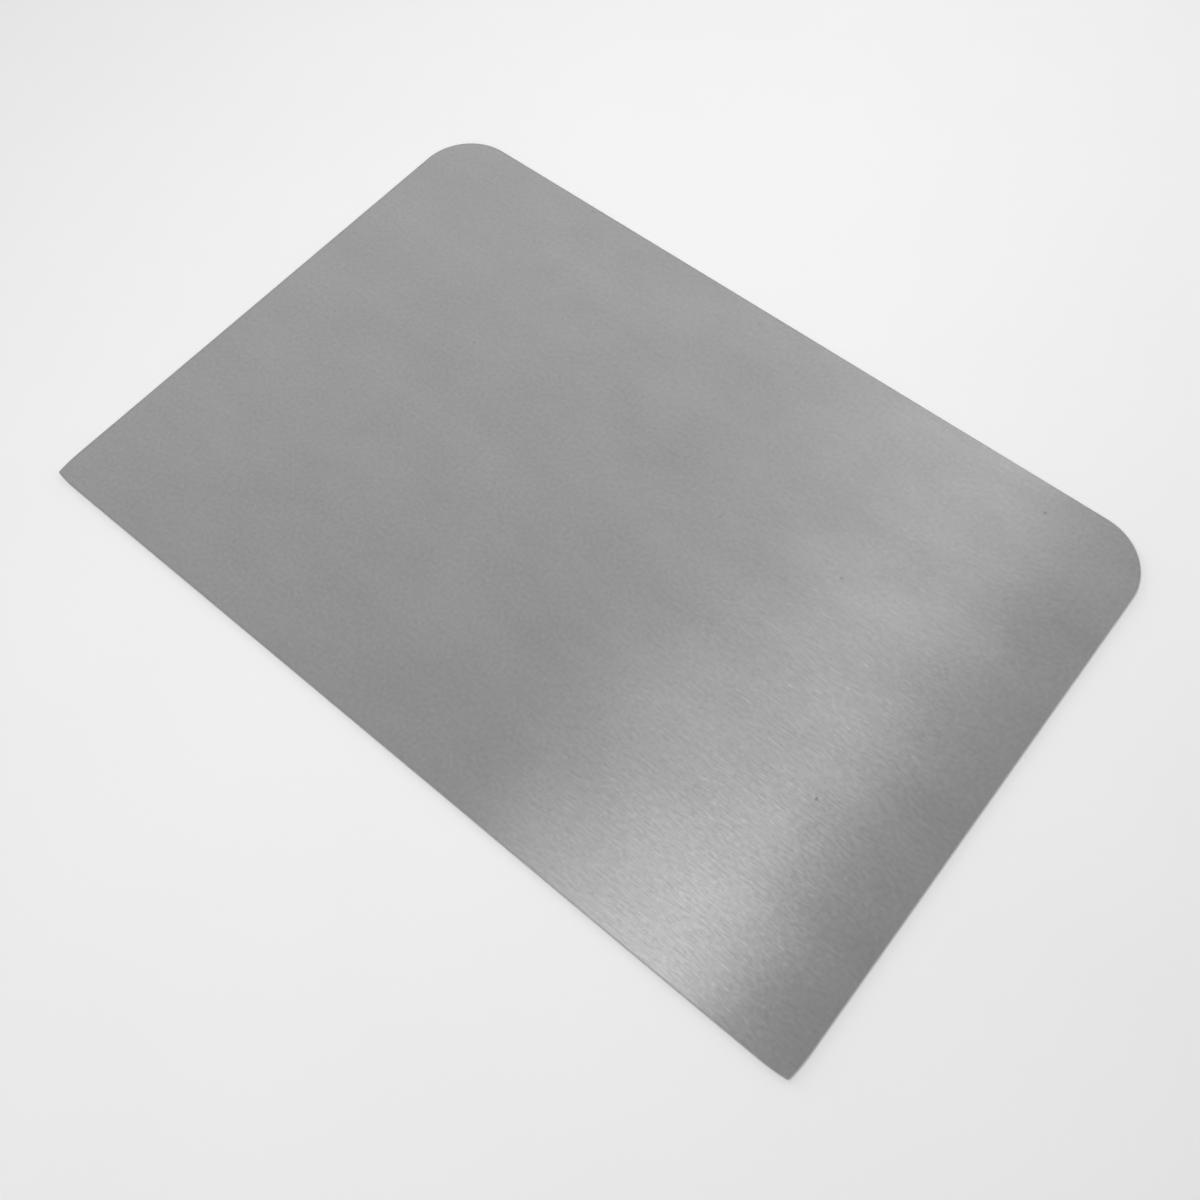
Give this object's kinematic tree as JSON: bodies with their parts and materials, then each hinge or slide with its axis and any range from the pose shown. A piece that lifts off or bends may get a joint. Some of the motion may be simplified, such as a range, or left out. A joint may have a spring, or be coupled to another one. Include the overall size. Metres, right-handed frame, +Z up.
{
  "type": "stainless steel scraper",
  "caption": "Flat handleless scraper of thin brushed stainless sheet, with a straight scraping edge and a palm side with rounded corners, for dough, pastry and worktops.",
  "frame": {"origin": "middle of the underside, the face that the sheet lies on", "axes": "+X along the scraping edge, +Y from the scraping edge to the palm edge, +Z up through the sheet"},
  "size_m": [0.15, 0.1, 0.0005],
  "materials": {
    "brushed_steel": "fine straight brushing along the scraping edge on both faces, rim deburred"
  },
  "bodies": {
    "root": {"scraper_blade": "brushed_steel"}
  },
  "joints": []
}
